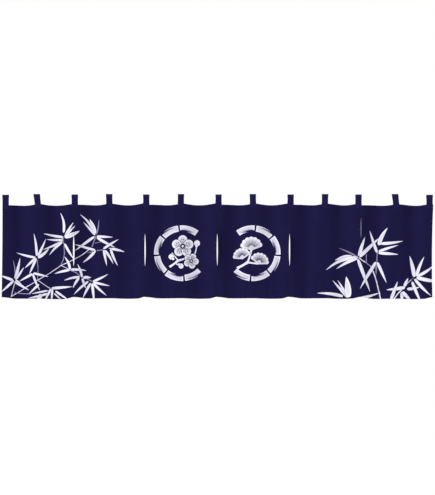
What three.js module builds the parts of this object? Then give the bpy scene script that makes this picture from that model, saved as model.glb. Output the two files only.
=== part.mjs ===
// A short shop-front curtain: six dyed cotton panels in a row, hung from thirteen cloth loops.
// X runs along the curtain, the printed face looks along -Y and Z is up.
// The origin is on the line of the hanging rod, at the middle of the curtain.

import * as THREE from "three";

// Driving dimensions, in millimetres
const PANEL_WIDTH = 340;
const PANEL_COUNT = 6;
const CLOTH = 1.2;
const GAP = 0.3;

// The heights on the Z axis of the line that the slits are measured down from, and of the hem
const TOP_HEIGHT = -36;
const HEM_HEIGHT = -481.2;

// How each panel's two corners rise from the hem
const CORNERS = {
  left: { rise: 6, reach: 65 },
  right: { rise: 7, reach: 38 },
};

// Where the panels meet: the edge of the right-hand panel is tucked behind the left-hand one.
const LAP = 1;
const LAP_STEP = 2;
const CURL_WIDTH = 46;

// Loops
const LOOP_WIDTH = 30.5;
const LOOP_PLY = 1.3;
const LOOP_RADIUS = 10.3;
const LOOP_WAIST = 0.05;
const TAIL_LENGTH = 18;
const TAIL_DEPTH = 2.4;

// A loop over a slit hangs behind the tucked edge, with room for that edge's slant. It comes
// forward under the rod on the lower part of its height.
const TUCKED_TAIL_SHIFT = LAP_STEP + 0.2;
const STRAIGHT_BY = 2 / 3;

// The cloth hangs just in front of the loops' tails, and those hang under the rod.
const PANEL_DEPTH = -(TAIL_DEPTH / 2 + GAP + CLOTH / 2);

// How finely a panel and a loop are divided
const COLUMNS = 24;
const ROWS = 12;
const LOOP_STEPS = 2;
const ARC_STEPS = 10;

// Each loop: its place along the curtain, the height of its top, and its lean.
const LOOPS = [
  { at: -1004, head: 10, lean: 0 },
  { at: -851, head: 13.5, lean: -6 },
  { at: -676, head: 11.5, lean: 0 },
  { at: -512, head: 13.5, lean: -1 },
  { at: -337, head: 11.5, lean: 0 },
  { at: -173, head: 13.5, lean: 1 },
  { at: 6, head: 11.5, lean: 0 },
  { at: 169.5, head: 13.5, lean: -1 },
  { at: 348, head: 11.5, lean: 0 },
  { at: 510.5, head: 13.5, lean: 1 },
  { at: 670, head: 11.5, lean: 0 },
  { at: 849, head: 13.5, lean: -6 },
  { at: 1007, head: 10, lean: 0 },
];

// The top edge of each bay of cloth between two loops: its height where it starts and ends, its
// sag, and how late that sag comes, from 1 for the middle of the bay. The last column is how far
// the hem dips below the bay.
const EDGES = [
  { start: -40.5, end: -37, sag: 4.7, late: 1.6, dip: 0.3 },
  { start: -34.7, end: -34.7, sag: 8.2, late: 1, dip: 2.8 },
  { start: -37.9, end: -34.5, sag: 5.2, late: 1.7, dip: 0.5 },
  { start: -32.8, end: -31, sag: 9.2, late: 1.1, dip: 2.2 },
  { start: -37.8, end: -35.3, sag: 4.5, late: 1.7, dip: 0.5 },
  { start: -32, end: -31, sag: 9.4, late: 1, dip: 2.2 },
  { start: -37.6, end: -35.2, sag: 4.6, late: 1.7, dip: 0.5 },
  { start: -31.9, end: -31, sag: 9.4, late: 1, dip: 2.2 },
  { start: -37.6, end: -35.3, sag: 4.6, late: 1.7, dip: 0.5 },
  { start: -32.8, end: -34.3, sag: 7.5, late: 1.2, dip: 2.4 },
  { start: -40.2, end: -37.3, sag: 4.7, late: 1.8, dip: 0.8 },
  { start: -36, end: -36.6, sag: 6.8, late: 1.3, dip: 2 },
];

// How far each bay bows forward at the top and at the hem, and how far that bow leans sideways
// on its way down, as a share of the bay.
const BOWS = [
  { top: 11, hem: 8, lean: 0.05 },
  { top: 13, hem: 6, lean: -0.04 },
  { top: 12, hem: 7, lean: 0.06 },
  { top: 10, hem: 8, lean: -0.05 },
  { top: 12, hem: 6, lean: 0.03 },
  { top: 11, hem: 9, lean: -0.06 },
  { top: 13, hem: 7, lean: 0.05 },
  { top: 10, hem: 6, lean: -0.03 },
  { top: 12, hem: 8, lean: 0.06 },
  { top: 11, hem: 7, lean: -0.05 },
  { top: 12, hem: 9, lean: 0.04 },
  { top: 10, hem: 6, lean: -0.06 },
];

// Each slit between two panels: where it gapes and how wide, where its edges turn back and how
// far, and how far it stands to the right of its even place. Places are shares of the drop.
const SLITS = [
  { gapeFrom: 0.325, gapeTo: 0.665, gape: 8, turnFrom: 0.17, turnTo: 0.82, turn: 12, aside: -1.8 },
  { gapeFrom: 0.305, gapeTo: 0.665, gape: 6.6, turnFrom: 0.15, turnTo: 0.82, turn: 13, aside: -3 },
  { gapeFrom: 0.305, gapeTo: 0.665, gape: 6.6, turnFrom: 0.15, turnTo: 0.82, turn: 13, aside: 0 },
  { gapeFrom: 0.305, gapeTo: 0.665, gape: 6.6, turnFrom: 0.15, turnTo: 0.82, turn: 13, aside: 3.3 },
  { gapeFrom: 0.08, gapeTo: 0.43, gape: 1.8, turnFrom: 0.06, turnTo: 0.52, turn: 5, aside: 2 },
];

// How far the curtain's two outer edges stand in from their straight line, down the drop.
const OUTER_EDGES = {
  left: { top: 1.5, middle: 0.5, hem: -2.6 },
  right: { top: -4, middle: 2, hem: 0 },
};

// The end panels hang a little lower than the others.
const HEM_DROPS = [1.3, 0, 0, 0, 0, 2];

const CLOTH_COLOUR = 0x1e1b42;
const LOOP_COLOUR = 0x211d47;

function mix(a, b, share) {
  return a + (b - a) * share;
}

// A curve through three values at the top, the middle and the hem
function throughThree({ top, middle, hem }, down) {
  const early = 2 * (down - 0.5) * (down - 1);
  const centre = 4 * down * (1 - down);
  const late = 2 * down * (down - 0.5);
  return top * early + middle * centre + hem * late;
}

function clampShare(value) {
  return Math.min(1, Math.max(0, value));
}

// From 0 to 1 with a level start and end
function smoothShare(value) {
  const share = clampShare(value);
  return share * share * (3 - 2 * share);
}

// 1 at an edge, easing to 0 at the given distance from it
function easeFromEdge(distance, reach) {
  return clampShare(1 - distance / reach) ** 2;
}

function clothMaterial(name, colour) {
  return new THREE.MeshStandardMaterial({ name, color: colour, roughness: 0.9, metalness: 0 });
}

// The share of a bay that is passed at a place along the curtain. Under the loops at its ends
// the cloth is held flat, so the share stays at 0 or 1.
function bayShare(bay, x) {
  const start = LOOPS[bay].at + LOOP_WIDTH / 2;
  const end = LOOPS[bay + 1].at - LOOP_WIDTH / 2;
  return clampShare((x - start) / (end - start));
}

// Each panel hangs in two bays, left and right of its middle loop.
function baysOf(panel) {
  return [2 * panel, 2 * panel + 1];
}

function bayEdge(bay, x) {
  const { start, end, sag, late } = EDGES[bay];
  const share = bayShare(bay, x);
  return mix(start, end, share) - sag * Math.sin(Math.PI * share ** late);
}

function topEdge(x, panel) {
  const [left, right] = baysOf(panel);
  const pastMiddle = smoothShare((x - LOOPS[right].at) / LOOP_WIDTH + 0.5);
  return mix(bayEdge(left, x), bayEdge(right, x), pastMiddle);
}

function hemEdge(x, panel) {
  const fromLeft = x - panelStart(panel);
  const fromRight = PANEL_WIDTH - fromLeft;
  const { left, right } = CORNERS;
  let height = HEM_HEIGHT - HEM_DROPS[panel];
  height += left.rise * (1 - smoothShare(fromLeft / left.reach));
  height += right.rise * (1 - smoothShare(fromRight / right.reach));
  for (const bay of baysOf(panel)) {
    height -= EDGES[bay].dip * Math.sin(Math.PI * bayShare(bay, x));
  }
  return height;
}

function panelStart(panel) {
  return (panel - PANEL_COUNT / 2) * PANEL_WIDTH;
}

// How far a panel bows forward at a place along the curtain
function bowAt(x, panel, down) {
  let depth = 0;
  for (const bay of baysOf(panel)) {
    const { top, hem, lean } = BOWS[bay];
    const share = bayShare(bay, x);
    const shifted = share + lean * down * Math.sin(Math.PI * share);
    depth += mix(top, hem, down) * Math.sin(Math.PI * shifted) ** 2;
  }
  return depth;
}

// How far the two edges at a slit are drawn apart, each from the slit's middle, and turned back
function slitEdge({ gapeFrom, gapeTo, gape, turnFrom, turnTo, turn }, down) {
  const gapeShare = clampShare((down - gapeFrom) / (gapeTo - gapeFrom));
  const turnShare = clampShare((down - turnFrom) / (turnTo - turnFrom));
  const drawn = ((gape + LAP) / 2) * Math.sqrt(Math.sin(Math.PI * gapeShare)) - LAP / 2;
  return { drawn, back: turn * Math.sin(Math.PI * turnShare) ** 2 };
}

// One side of a panel: how far it stands in from its line, and how far back
function panelSide(panel, side, down) {
  const first = panel === 0 && side === "left";
  const last = panel === PANEL_COUNT - 1 && side === "right";
  if (first || last) {
    return { drawn: throughThree(OUTER_EDGES[side], down), back: 0 };
  }
  if (side === "left") {
    const slit = SLITS[panel - 1];
    const { back, drawn } = slitEdge(slit, down);
    return { drawn: drawn + slit.aside, back: back + LAP_STEP };
  }
  const slit = SLITS[panel];
  const { back, drawn } = slitEdge(slit, down);
  return { drawn: drawn - slit.aside, back };
}

// A point on the middle of the cloth, at shares across and down its panel
function clothPoint(panel, across, down) {
  const along = across * PANEL_WIDTH;
  const x = panelStart(panel) + along;
  const z = mix(topEdge(x, panel), hemEdge(x, panel), down);
  const drop = (TOP_HEIGHT - z) / (TOP_HEIGHT - HEM_HEIGHT);
  const left = panelSide(panel, "left", drop);
  const right = panelSide(panel, "right", drop);
  const nearLeft = easeFromEdge(along, CURL_WIDTH);
  const nearRight = easeFromEdge(PANEL_WIDTH - along, CURL_WIDTH);
  return new THREE.Vector3(
    x + left.drawn * nearLeft - right.drawn * nearRight,
    PANEL_DEPTH - bowAt(x, panel, down) + left.back * nearLeft + right.back * nearRight,
    z,
  );
}

// The cloth's normal on its printed face, from two short steps along its surface
function clothNormal(panel, across, down) {
  const step = 0.002;
  const alongX = clothPoint(panel, Math.min(1, across + step), down);
  alongX.sub(clothPoint(panel, Math.max(0, across - step), down));
  const alongZ = clothPoint(panel, across, Math.max(0, down - step));
  alongZ.sub(clothPoint(panel, across, Math.min(1, down + step)));
  return alongX.cross(alongZ).normalize();
}

// A panel is two skins, half the cloth's thickness either side of its middle, and a rim.
function makePanel(panel) {
  const positions = [];
  const indices = [];
  const perSkin = (COLUMNS + 1) * (ROWS + 1);
  for (const side of [1, -1]) {
    for (let row = 0; row <= ROWS; row += 1) {
      for (let column = 0; column <= COLUMNS; column += 1) {
        const across = column / COLUMNS;
        const down = row / ROWS;
        const point = clothPoint(panel, across, down);
        point.addScaledVector(clothNormal(panel, across, down), (side * CLOTH) / 2);
        positions.push(point.x, point.y, point.z);
      }
    }
  }
  const front = (column, row) => row * (COLUMNS + 1) + column;
  const back = (column, row) => front(column, row) + perSkin;
  const quad = (a, b, c, d) => indices.push(a, b, c, a, c, d);
  for (let row = 0; row < ROWS; row += 1) {
    for (let column = 0; column < COLUMNS; column += 1) {
      const next = column + 1;
      const below = row + 1;
      quad(front(column, row), front(column, below), front(next, below), front(next, row));
      quad(back(column, row), back(next, row), back(next, below), back(column, below));
    }
  }
  for (let column = 0; column < COLUMNS; column += 1) {
    const next = column + 1;
    quad(front(column, 0), front(next, 0), back(next, 0), back(column, 0));
    quad(front(next, ROWS), front(column, ROWS), back(column, ROWS), back(next, ROWS));
  }
  for (let row = 0; row < ROWS; row += 1) {
    const below = row + 1;
    quad(front(0, below), front(0, row), back(0, row), back(0, below));
    quad(front(COLUMNS, row), front(COLUMNS, below), back(COLUMNS, below), back(COLUMNS, row));
  }
  const geometry = new THREE.BufferGeometry();
  geometry.setAttribute("position", new THREE.Float32BufferAttribute(positions, 3));
  geometry.setIndex(indices);
  geometry.computeVertexNormals();
  return geometry;
}

// The side view of a loop: a double tail, two legs drawn straight by the curtain's weight, and
// a round head. Its points are in the loop's own frame, depth first and then height, with the
// middle of the head at 0.
function loopSection(headCentre, foot) {
  const innerRadius = LOOP_RADIUS - LOOP_PLY;
  const pinch = foot + LOOP_PLY * 2 - headCentre;
  const slope = Math.asin(innerRadius / -pinch);
  const tailTop = -LOOP_RADIUS / Math.sin(slope) + TAIL_DEPTH / 2 / Math.tan(slope);
  const tailBottom = foot - TAIL_LENGTH - headCentre;
  const outline = new THREE.Shape();
  outline.moveTo(-TAIL_DEPTH / 2, tailBottom);
  outline.lineTo(TAIL_DEPTH / 2, tailBottom);
  outline.lineTo(TAIL_DEPTH / 2, tailTop);
  outline.absarc(0, 0, LOOP_RADIUS, -slope, Math.PI + slope, false);
  outline.lineTo(-TAIL_DEPTH / 2, tailTop);
  const inside = new THREE.Path();
  inside.moveTo(0, pinch);
  inside.lineTo(innerRadius * Math.cos(slope), -innerRadius * Math.sin(slope));
  inside.absarc(0, 0, innerRadius, -slope, Math.PI + slope, false);
  outline.holes.push(inside);
  return outline;
}

// The height at which a loop's legs meet: the higher of the two edges beside the loop
function footOf(index) {
  const before = index > 0 ? EDGES[index - 1].end : EDGES[index].start;
  const after = index < EDGES.length ? EDGES[index].start : before;
  return Math.max(before, after);
}

function isOverSlit(index) {
  return index % 2 === 0 && index > 0 && index < LOOPS.length - 1;
}

function makeLoop(index) {
  const { head, lean } = LOOPS[index];
  const foot = footOf(index);
  const headCentre = head - LOOP_RADIUS;
  const geometry = new THREE.ExtrudeGeometry(loopSection(headCentre, foot), {
    depth: LOOP_WIDTH,
    steps: LOOP_STEPS,
    bevelEnabled: false,
    curveSegments: ARC_STEPS,
  });
  const tailShift = isOverSlit(index) ? TUCKED_TAIL_SHIFT : 0;
  const height = head - foot;
  const position = geometry.getAttribute("position");
  for (let i = 0; i < position.count; i += 1) {
    const depth = position.getX(i);
    const z = position.getY(i) + headCentre;
    const side = position.getZ(i) - LOOP_WIDTH / 2;
    const up = clampShare((z - foot) / height);
    const waist = 1 - LOOP_WAIST * Math.sin(Math.PI * up);
    const shift = tailShift * (1 - Math.min(1, up / STRAIGHT_BY));
    position.setXYZ(i, side * waist + lean * up, depth + shift, z);
  }
  geometry.computeVertexNormals();
  return geometry;
}

const curtain = new THREE.Group();

const panels = new THREE.Group();
for (let panel = 0; panel < PANEL_COUNT; panel += 1) {
  const mesh = new THREE.Mesh(makePanel(panel), clothMaterial("panel cloth", CLOTH_COLOUR));
  mesh.name = `panel_${panel + 1}`;
  panels.add(mesh);
}
curtain.add(panels);

const loops = new THREE.Group();
LOOPS.forEach(({ at }, index) => {
  const mesh = new THREE.Mesh(makeLoop(index), clothMaterial("loop cloth", LOOP_COLOUR));
  mesh.name = `loop_${String(index + 1).padStart(2, "0")}`;
  mesh.position.x = at;
  loops.add(mesh);
});
curtain.add(loops);

export default curtain;
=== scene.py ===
"""A short shop-front curtain, sewn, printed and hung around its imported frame.

The tables give lengths in millimetres and angles in degrees. MM turns lengths into Blender's metres.
X runs along the curtain, the printed face looks along -Y and Z is up, with the hanging rod's line at 0.
"""

import math
from typing import NamedTuple

import bpy
import numpy as np
from bpy.props import FloatProperty, FloatVectorProperty, PointerProperty
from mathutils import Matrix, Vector
from mathutils.geometry import delaunay_2d_cdt


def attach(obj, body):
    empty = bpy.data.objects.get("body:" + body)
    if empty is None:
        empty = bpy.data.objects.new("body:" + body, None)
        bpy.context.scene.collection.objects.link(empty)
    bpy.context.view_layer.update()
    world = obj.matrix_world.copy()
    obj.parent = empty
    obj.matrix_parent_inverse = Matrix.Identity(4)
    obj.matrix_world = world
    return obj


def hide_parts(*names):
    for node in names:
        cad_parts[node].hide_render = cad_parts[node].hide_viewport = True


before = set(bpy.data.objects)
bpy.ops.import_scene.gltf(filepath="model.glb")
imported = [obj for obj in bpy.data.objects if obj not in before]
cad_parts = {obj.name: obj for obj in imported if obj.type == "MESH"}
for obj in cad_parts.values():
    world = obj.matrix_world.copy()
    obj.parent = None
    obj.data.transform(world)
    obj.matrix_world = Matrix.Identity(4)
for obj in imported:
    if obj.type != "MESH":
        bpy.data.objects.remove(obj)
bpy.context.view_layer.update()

bl_info = {
    "name": "Slit Shop Curtain",
    "version": (1, 0, 0),
    "blender": (4, 5, 0),
    "location": "3D View > Sidebar > Curtain",
    "description": "Sews, dyes and hangs a short slit curtain of six cotton panels",
    "category": "Add Mesh",
}

MM = 0.001

# The curtain, as it hangs

# Heights are on the Z axis: the line that the slits are measured down from, and the hem, from
# which each panel's lower corners rise.
PANEL_WIDTH = 340
PANEL_COUNT = 6
TOP_HEIGHT = -36
HEM_HEIGHT = -481.2
DROP = TOP_HEIGHT - HEM_HEIGHT
LEFT_CORNER_RISE = 6
LEFT_CORNER_REACH = 65
RIGHT_CORNER_RISE = 7
RIGHT_CORNER_REACH = 38

# Where the panels meet, the edge of the right-hand one is tucked behind the left-hand one. The
# last is the width over which an edge is drawn aside and turned back.
LAP = 1
LAP_STEP = 2
CURL_WIDTH = 46

# The middle of the cloth on the Y axis, where it hangs flat under a loop
PANEL_DEPTH = -2.1

# The loops. Each is a little narrower at its waist. Over a slit, the tail hangs further back,
# behind the tucked edge, and the legs are in line again by a share of the loop's height.
LOOP_WIDTH = 30.5
LOOP_RADIUS = 10.3
LOOP_PLY = 1.2
LOOP_WAIST = 0.05
TAIL_LENGTH = 18
TUCKED_TAIL_SHIFT = 2.2
STRAIGHT_BY = 2 / 3


class Loop(NamedTuple):
    """A hanging loop: its place, the height of its top, and its lean."""

    at: float
    head: float
    lean: float


class Edge(NamedTuple):
    """A bay's top edge: its two heights, its sag and how late that comes, and the hem's dip."""

    start: float
    end: float
    sag: float
    late: float
    dip: float


class Bow(NamedTuple):
    """How far a bay of cloth bows forward at the top and the hem, and how that bow leans."""

    top: float
    hem: float
    lean: float


class Slit(NamedTuple):
    """Where a slit gapes and how wide, where its edges turn back and how far, and its shift."""

    gape_from: float
    gape_to: float
    gape: float
    turn_from: float
    turn_to: float
    turn: float
    aside: float


LOOPS = (
    Loop(-1004, 10, 0),
    Loop(-851, 13.5, -6),
    Loop(-676, 11.5, 0),
    Loop(-512, 13.5, -1),
    Loop(-337, 11.5, 0),
    Loop(-173, 13.5, 1),
    Loop(6, 11.5, 0),
    Loop(169.5, 13.5, -1),
    Loop(348, 11.5, 0),
    Loop(510.5, 13.5, 1),
    Loop(670, 11.5, 0),
    Loop(849, 13.5, -6),
    Loop(1007, 10, 0),
)

EDGES = (
    Edge(-40.5, -37, 4.7, 1.6, 0.3),
    Edge(-34.7, -34.7, 8.2, 1, 2.8),
    Edge(-37.9, -34.5, 5.2, 1.7, 0.5),
    Edge(-32.8, -31, 9.2, 1.1, 2.2),
    Edge(-37.8, -35.3, 4.5, 1.7, 0.5),
    Edge(-32, -31, 9.4, 1, 2.2),
    Edge(-37.6, -35.2, 4.6, 1.7, 0.5),
    Edge(-31.9, -31, 9.4, 1, 2.2),
    Edge(-37.6, -35.3, 4.6, 1.7, 0.5),
    Edge(-32.8, -34.3, 7.5, 1.2, 2.4),
    Edge(-40.2, -37.3, 4.7, 1.8, 0.8),
    Edge(-36, -36.6, 6.8, 1.3, 2),
)

BOWS = (
    Bow(11, 8, 0.05),
    Bow(13, 6, -0.04),
    Bow(12, 7, 0.06),
    Bow(10, 8, -0.05),
    Bow(12, 6, 0.03),
    Bow(11, 9, -0.06),
    Bow(13, 7, 0.05),
    Bow(10, 6, -0.03),
    Bow(12, 8, 0.06),
    Bow(11, 7, -0.05),
    Bow(12, 9, 0.04),
    Bow(10, 6, -0.06),
)

SLITS = (
    Slit(0.325, 0.665, 8, 0.17, 0.82, 12, -1.8),
    Slit(0.305, 0.665, 6.6, 0.15, 0.82, 13, -3),
    Slit(0.305, 0.665, 6.6, 0.15, 0.82, 13, 0),
    Slit(0.305, 0.665, 6.6, 0.15, 0.82, 13, 3.3),
    Slit(0.08, 0.43, 1.8, 0.06, 0.52, 5, 2),
)

# How far the two outer edges stand in from their line at the top, the middle and the hem
OUTER_LEFT = (1.5, 0.5, -2.6)
OUTER_RIGHT = (-4, 2, 0)

# How much lower each panel's hem hangs
HEM_DROPS = (1.3, 0, 0, 0, 0, 2)


# The drape: the same surface as the frame's panels, for whole arrays of points at once


def mix(a, b, share):
    """The value a share of the way from a to b"""
    return a + (b - a) * share


def clamp_share(value):
    """No less than 0 and no more than 1"""
    return np.clip(value, 0, 1)


def smooth_share(value):
    """From 0 to 1 with a level start and end"""
    share = clamp_share(value)
    return share * share * (3 - 2 * share)


def ease_from_edge(distance, reach):
    """1 at an edge, easing to 0 at the given distance from it"""
    return clamp_share(1 - distance / reach) ** 2


def through_three(values, down):
    """A curve through three values at the top, the middle and the hem"""
    top, middle, hem = values
    early = 2 * (down - 0.5) * (down - 1)
    centre = 4 * down * (1 - down)
    late = 2 * down * (down - 0.5)
    return top * early + middle * centre + hem * late


def bay_share(bay, x):
    """The share of a bay that is passed at each place along the curtain"""
    start = LOOPS[bay].at + LOOP_WIDTH / 2
    end = LOOPS[bay + 1].at - LOOP_WIDTH / 2
    return clamp_share((x - start) / (end - start))


def bays_of(panel):
    """The two bays of a panel, left and right of its middle loop"""
    return 2 * panel, 2 * panel + 1


def panel_start(panel):
    """Where a panel's left-hand side stands along the curtain"""
    return (panel - PANEL_COUNT / 2) * PANEL_WIDTH


def bay_edge(bay, x):
    """The height of the sagging top edge between two loops"""
    edge = EDGES[bay]
    share = bay_share(bay, x)
    return mix(edge.start, edge.end, share) - edge.sag * np.sin(np.pi * share**edge.late)


def top_edge(x, panel):
    """The height of a panel's top edge, eased from one bay to the other under its middle loop"""
    left, right = bays_of(panel)
    past_middle = smooth_share((x - LOOPS[right].at) / LOOP_WIDTH + 0.5)
    return mix(bay_edge(left, x), bay_edge(right, x), past_middle)


def hem_edge(x, panel):
    """The height of a panel's hem"""
    from_left = x - panel_start(panel)
    from_right = PANEL_WIDTH - from_left
    height = HEM_HEIGHT - HEM_DROPS[panel]
    height = height + LEFT_CORNER_RISE * (1 - smooth_share(from_left / LEFT_CORNER_REACH))
    height += RIGHT_CORNER_RISE * (1 - smooth_share(from_right / RIGHT_CORNER_REACH))
    for bay in bays_of(panel):
        height -= EDGES[bay].dip * np.sin(np.pi * bay_share(bay, x))
    return height


def bow_depth(x, panel, down):
    """How far the cloth stands forward between its loops"""
    depth = 0
    for bay in bays_of(panel):
        top, hem, lean = BOWS[bay]
        share = bay_share(bay, x)
        shifted = share + lean * down * np.sin(np.pi * share)
        depth = depth + mix(top, hem, down) * np.sin(np.pi * shifted) ** 2
    return depth


def slit_edge(slit, down):
    """How far the two edges at a slit are drawn apart, each from its middle, and turned back"""
    gape_share = clamp_share((down - slit.gape_from) / (slit.gape_to - slit.gape_from))
    turn_share = clamp_share((down - slit.turn_from) / (slit.turn_to - slit.turn_from))
    opened = np.sqrt(np.abs(np.sin(np.pi * gape_share)))
    drawn = (slit.gape + LAP) / 2 * opened - LAP / 2
    return drawn, slit.turn * np.sin(np.pi * turn_share) ** 2


def panel_side(panel, side, down):
    """How far a panel's side stands in from its line, and how far back"""
    if panel == 0 and side == "left":
        return through_three(OUTER_LEFT, down), np.zeros_like(down)
    if panel == PANEL_COUNT - 1 and side == "right":
        return through_three(OUTER_RIGHT, down), np.zeros_like(down)
    slit = SLITS[panel - 1 if side == "left" else panel]
    drawn, back = slit_edge(slit, down)
    if side == "left":
        return drawn + slit.aside, back + LAP_STEP
    return drawn - slit.aside, back


# Small creases that the frame's solids leave out
DRAG_REACH = 85
DRAG_WIDTH = 9
DRAG_SLOPE = 0.62
DRAG_HEIGHT = 1.3
RIPPLE_HEIGHT = 0.7
RIPPLE_LENGTH = 46
RIPPLE_WANDER = 1.3
RIPPLE_WANDER_PACE = 0.37


def creases(x, down):
    """Soft ridges that run down and out from each loop, and a faint ripple towards the hem"""
    fallen = down * DROP
    height = np.zeros_like(x)
    for loop in LOOPS:
        for way in (-1, 1):
            across = (x - loop.at) * way - DRAG_SLOPE * fallen
            ridge = np.exp(-((across / DRAG_WIDTH) ** 2))
            fade = np.clip(1 - fallen / DRAG_REACH, 0, 1) ** 2
            height += DRAG_HEIGHT * ridge * fade * np.clip(fallen / TAIL_LENGTH, 0, 1)
    phase = 2 * np.pi * x / RIPPLE_LENGTH
    uneven = phase + RIPPLE_WANDER * np.sin(phase * RIPPLE_WANDER_PACE)
    ripple = np.sin(uneven) * np.clip(down * 2 - 1, 0, 1) ** 2
    return height + RIPPLE_HEIGHT * ripple


def drape(panel, along, drop):
    """Points on the middle of a panel's cloth, from places on the flat panel"""
    down = drop / DROP
    x = panel_start(panel) + along
    z = mix(top_edge(x, panel), hem_edge(x, panel), down)
    fallen = (TOP_HEIGHT - z) / DROP
    left, left_back = panel_side(panel, "left", fallen)
    right, right_back = panel_side(panel, "right", fallen)
    near_left = ease_from_edge(along, CURL_WIDTH)
    near_right = ease_from_edge(PANEL_WIDTH - along, CURL_WIDTH)
    forward = bow_depth(x, panel, down) + creases(x, down)
    back = left_back * near_left + right_back * near_right
    return np.stack(
        (x + left * near_left - right * near_right, PANEL_DEPTH - forward + back, z), axis=-1
    )


# Hems: the turned-in plies stand a little proud in front and more behind
HEM_LEDGE = 0.8
HEM_FRONT = 0.22
HEM_BACK = 0.42

# The two faces of the cloth, and the step along it from which its normals are worked out
BACK = -1
FRONT = 1
NORMAL_STEP = 0.3


def hem_share(along, drop):
    """1 on the hems, 0 in the field, with a narrow ledge between"""
    cloth = bpy.context.scene.curtain_cloth
    hems = (
        (along, cloth.side_hem / MM),
        (PANEL_WIDTH - along, cloth.side_hem / MM),
        (drop, cloth.top_fold / MM),
        (DROP - drop, cloth.foot_hem / MM),
    )
    shares = [np.clip((width - distance) / HEM_LEDGE + 0.5, 0, 1) for distance, width in hems]
    return np.max(shares, axis=0)


def skin(panel, along, drop, side):
    """Points on a panel's front or back face"""
    along = np.asarray(along, float)
    drop = np.asarray(drop, float)
    ply = bpy.context.scene.curtain_cloth.ply / MM
    proud = HEM_FRONT if side == FRONT else HEM_BACK
    points = drape(panel, along, drop)
    points[..., 1] -= side * (ply / 2 + proud * hem_share(along, drop))
    return points


def skin_normals(panel, along, drop, side):
    """Which way a panel's front or back face looks at each place"""
    step = NORMAL_STEP
    across = skin(panel, along + step, drop, side) - skin(panel, along - step, drop, side)
    upward = skin(panel, along, drop - step, side) - skin(panel, along, drop + step, side)
    normals = np.cross(across, upward) * side
    return normals / np.linalg.norm(normals, axis=-1, keepdims=True)


# The pattern, drawn as flat outlines: X along the curtain, and D down from the top edge

# The tones, which are also the places of their materials on a panel
DYED = 0
WHITE = 1
BRUSHED = 2
FAINT = 3

# A dyed gap parts each leaf from what it covers, and the dye creeps in a little at its edges.
HALO = 0.7
DYE_CREEP = 0.35

# A leaf's outline: how fast it swells from its foot and tapers to its tip
LEAF_POINTS = 10
LEAF_SWELL = 0.3
LEAF_TAPER = 0.8

# Leaves at least this wide have a brushed inside, between two shares of their length and with
# a share of their width.
BROAD_LEAF = 19
BRUSHED_PART = (0.1, 0.8)
BRUSHED_WIDTH = 0.5

# A twig sways by this share of its length, and is thicker at its two ends.
TWIG_SWAY = 0.02
TWIG_SWELL = (1.15, 0.95, 0.85, 0.85, 0.95, 1.15)


class Shape(NamedTuple):
    """A flat outline, the slightly larger one that parts it from what it covers, and its tone"""

    outline: np.ndarray
    margin: np.ndarray
    tone: int


class Leaf(NamedTuple):
    """A leaf from its foot to its tip, its width, and its bend to the left of that line"""

    x: float
    d: float
    to_x: float
    to_d: float
    width: float
    bend: float = 0
    tone: int = WHITE


class Twig(NamedTuple):
    """A tapering twig between two places"""

    x: float
    d: float
    to_x: float
    to_d: float
    width: float = 3
    tone: int = FAINT


# The two plants. Each row's places were read off the enlarged photo and corrected over it.
TWIGS = (
    # The left-hand bamboo: its branch, then its thin twigs
    Twig(-978, 437, -901, 389, 3.6, WHITE),
    Twig(-901, 389, -849, 357, 3.4, WHITE),
    Twig(-849, 357, -770, 310, 3.2, WHITE),
    Twig(-770, 310, -741, 289, 3.2, WHITE),
    Twig(-741, 289, -722, 281, 3, WHITE),
    Twig(-722, 281, -668, 254, 3.4, WHITE),
    Twig(-668, 254, -636, 236.5, 3.2, WHITE),
    Twig(-636, 235.5, -606, 212.5, 4, WHITE),
    Twig(-741, 289, -700, 308, 3, WHITE),
    Twig(-698, 311, -668, 325, 5),
    Twig(-668, 325, -652, 339, 5),
    Twig(-618, 352, -594, 365, 4.4),
    Twig(-731, 150, -727, 190, 4),
    Twig(-734, 156, -735, 180, 4, WHITE),
    Twig(-726, 195, -724, 232, 4),
    Twig(-724, 232, -729, 262, 4),
    Twig(-729, 262, -741, 289, 3.6),
    Twig(-854, 262, -850, 296, 4),
    Twig(-850, 296, -850, 324, 4),
    Twig(-851, 338, -853, 358, 3.4),
    Twig(-959, 372, -975.5, 434, 4.6, BRUSHED),
    Twig(-960, 419, -886, 424, 4.4),
    Twig(-848, 361, -793, 398, 3.6, BRUSHED),
    Twig(-574, 150, -593, 201, 5.4),
    Twig(-580, 184, -552, 177, 3),
    Twig(-571, 219, -542, 215, 4),
    # The right-hand bamboo
    Twig(671, 252.5, 701, 273.5, 4.6, WHITE),
    Twig(701, 273.5, 727, 293, 4.6),
    Twig(707, 236, 707.5, 276, 4.4),
    Twig(758, 230, 756, 273, 5),
    Twig(727, 293, 738.5, 318, 4.5, WHITE),
    Twig(738.5, 318, 747.5, 342, 5.5, WHITE),
    Twig(747.5, 342, 755, 368, 5.6, BRUSHED),
    Twig(755, 368, 760.5, 391, 5.8, BRUSHED),
    Twig(760.5, 391, 767.5, 418, 6, BRUSHED),
    Twig(767.5, 418, 774.5, 452, 6, WHITE),
    Twig(932, 346.5, 918.5, 357.5, 2.6),
    Twig(918.5, 357.5, 896, 382, 3.2, WHITE),
    Twig(874, 404.5, 837, 449, 5.4, WHITE),
)

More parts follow.
